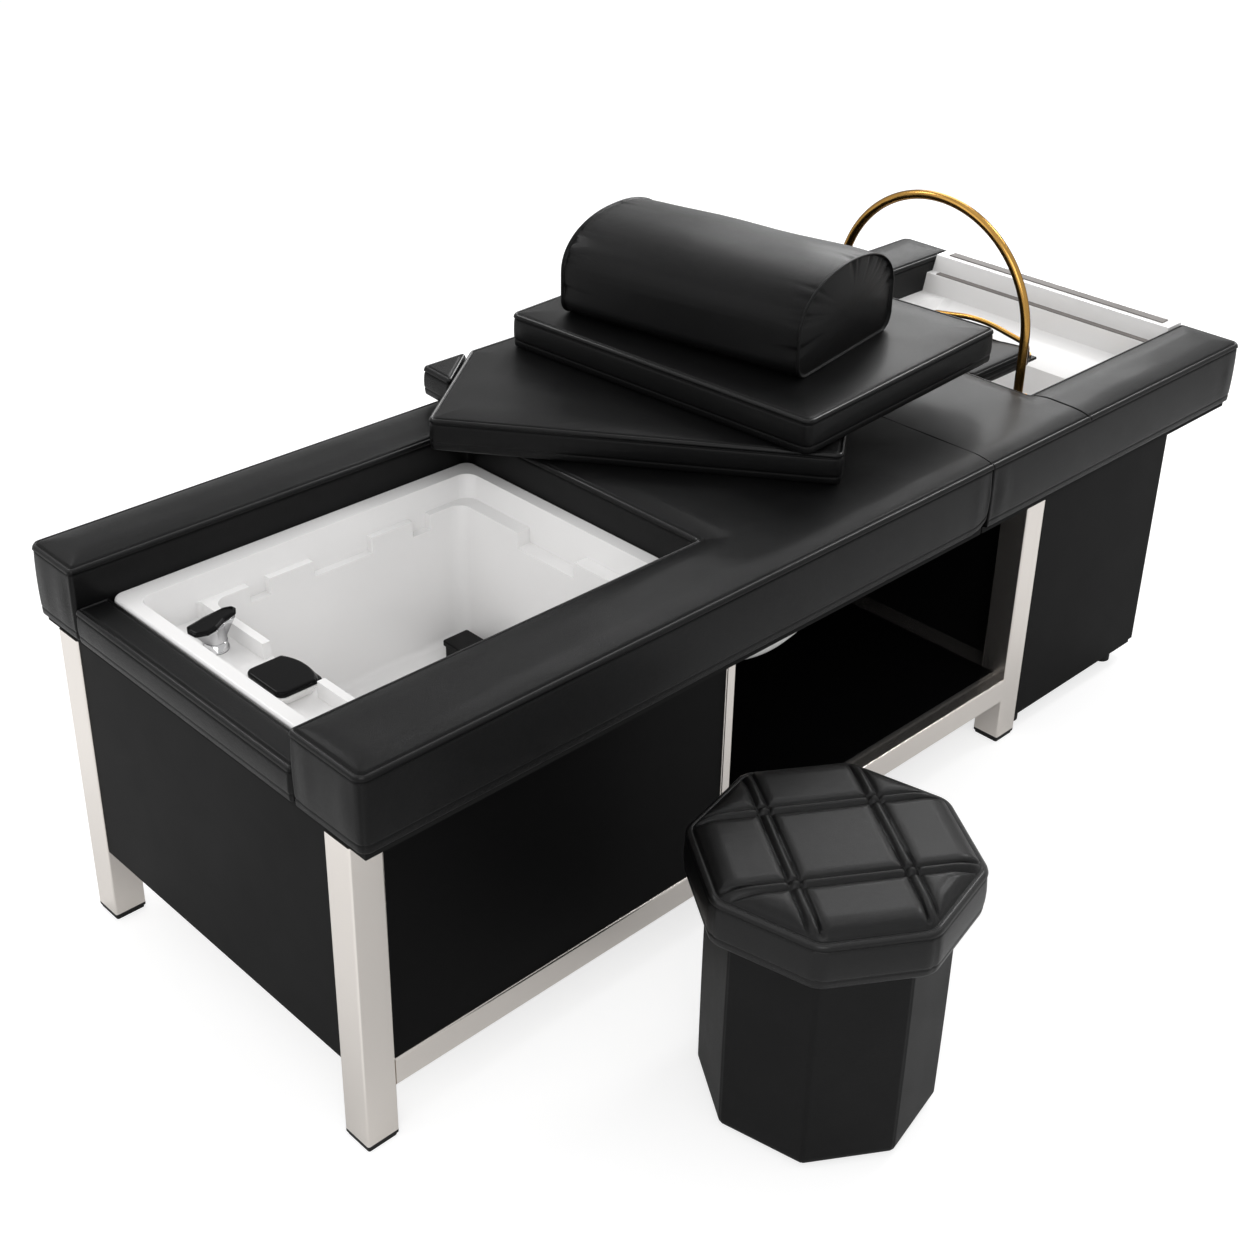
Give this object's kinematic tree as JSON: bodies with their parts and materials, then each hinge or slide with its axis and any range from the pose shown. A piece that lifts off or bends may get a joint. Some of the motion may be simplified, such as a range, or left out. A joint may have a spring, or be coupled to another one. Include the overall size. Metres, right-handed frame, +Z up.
{
  "type": "hair washing bed",
  "caption": "Hair washing bed: steel frame, black upholstered top, foot bath with tap, head basin with arched pipe, open shelf, cabinet, loose cushions and a matching stool.",
  "frame": {"origin": "on the floor under the middle of the whole set's box, the stool included", "axes": "+X runs from the foot end to the head end along the bed's length, +Y from the near side, where the stool stands, to the far side, +Z up"},
  "size_m": [1.93, 1.2162, 0.8819],
  "materials": {
    "steel_tube": "smooth satin stainless",
    "black_rubber": "matt",
    "black_panel": "satin black",
    "black_gloss_board": "gloss black lacquer",
    "deck_board": "black backing cloth over board",
    "black_leather": "smooth black upholstery leather",
    "white_moulding": "gloss white",
    "white_hose": "matt white",
    "chrome": "polished",
    "black_plastic": "gloss black",
    "grey_strip": "matt grey",
    "black_metal": "satin black",
    "neck_rubber": "smooth soft black",
    "gold_pipe": "polished gold"
  },
  "bodies": {
    "bed": {"leg_foot_near": "steel_tube", "leg_foot_far": "steel_tube", "leg_head_near": "steel_tube", "leg_head_far": "steel_tube", "mid_post_near": "steel_tube", "mid_post_far": "steel_tube", "low_rail_near": "steel_tube", "low_rail_far": "steel_tube", "low_rail_foot": "steel_tube", "low_rail_head": "steel_tube", "top_rail_near": "steel_tube", "top_rail_far": "steel_tube", "top_rail_foot": "steel_tube", "top_rail_head": "steel_tube", "glide_foot_near": "black_rubber", "glide_foot_far": "black_rubber", "glide_head_near": "black_rubber", "glide_head_far": "black_rubber", "cabinet_feet": "black_rubber", "foot_panel": "black_panel", "side_panel_near": "black_panel", "side_panel_far": "black_panel", "bay_back_panel": "black_panel", "bay_partition": "black_panel", "cabinet_shell": "black_panel", "storage_shelf": "black_gloss_board", "foot_deck_board": "deck_board", "head_deck_board": "deck_board", "foot_module_pad": "black_leather", "head_module_pad": "black_leather", "cross_pad": "black_leather", "foot_bath": "white_moulding", "head_basin": "white_moulding", "spout_body": "white_moulding", "drain_hose": "white_hose", "bath_waste": "chrome", "basin_waste": "chrome", "tap_body": "chrome", "hinge_fixed": "chrome", "spout_cover": "black_plastic", "hose_holders": "black_plastic", "grip_strips": "grey_strip", "neck_rest_bracket": "black_metal", "arch_socket_near": "gold_pipe", "arch_socket_far": "gold_pipe", "spray_pipe": "gold_pipe"},
    "door": {"cabinet_door": "black_panel", "hinge_moving": "chrome"},
    "drain_box": {"drain_cover": "black_plastic"},
    "tap_swivel": {"tap_cartridge": "black_plastic"},
    "lever": {"tap_lever": "black_plastic"},
    "neck_cushion": {"neck_rest": "neck_rubber"},
    "arch": {"arch_pipe": "gold_pipe"},
    "cover": {"cover_cushion": "black_leather"},
    "square": {"square_cushion": "black_leather"},
    "roll": {"bolster": "black_leather"},
    "wedge": {"corner_pad": "black_leather"},
    "stool": {"stool_body": "black_leather", "stool_seat": "black_leather", "stool_feet": "black_rubber"}
  },
  "joints": [
    {"name": "door_hinge", "type": "hinge", "parent": "bed", "child": "door", "pos_m": [0.8365, 0.55056, 0.263], "axis": [0, 0, 1], "range_deg": [0, 100]},
    {"name": "drain_box_lift", "type": "slide", "parent": "bed", "child": "drain_box", "axis": [0, 0, 1], "range_m": [0, 0.12]},
    {"name": "tap_turn", "type": "hinge", "parent": "bed", "child": "tap_swivel", "pos_m": [-0.83, 0.34806, 0.53], "axis": [0, 0, 1], "range_deg": [-35, 35]},
    {"name": "tap_lift", "type": "hinge", "parent": "tap_swivel", "child": "lever", "pos_m": [-0.843, 0.34806, 0.5325], "axis": [0, -1, 0], "range_deg": [0, 18]},
    {"name": "neck_rest_lift", "type": "slide", "parent": "bed", "child": "neck_cushion", "axis": [0, 0, 1], "range_m": [0, 0.08]},
    {"name": "arch_fold", "type": "hinge", "parent": "bed", "child": "arch", "pos_m": [0.543, 0.21206, 0.572], "axis": [0, 1, 0], "range_deg": [0, 70]},
    {"name": "cover_lift", "type": "slide", "parent": "bed", "child": "cover", "axis": [0, 0, 1], "range_m": [0, 0.2]},
    {"name": "square_lift", "type": "slide", "parent": "cover", "child": "square", "axis": [0, 0, 1], "range_m": [0, 0.2]},
    {"name": "roll_lift", "type": "slide", "parent": "square", "child": "roll", "axis": [0, 0, 1], "range_m": [0, 0.2]},
    {"name": "wedge_lift", "type": "slide", "parent": "bed", "child": "wedge", "axis": [0, 0, 1], "range_m": [0, 0.2]},
    {"name": "stool_lift", "type": "slide", "parent": "bed", "child": "stool", "axis": [0, 0, 1], "range_m": [0, 0.3]}
  ]
}
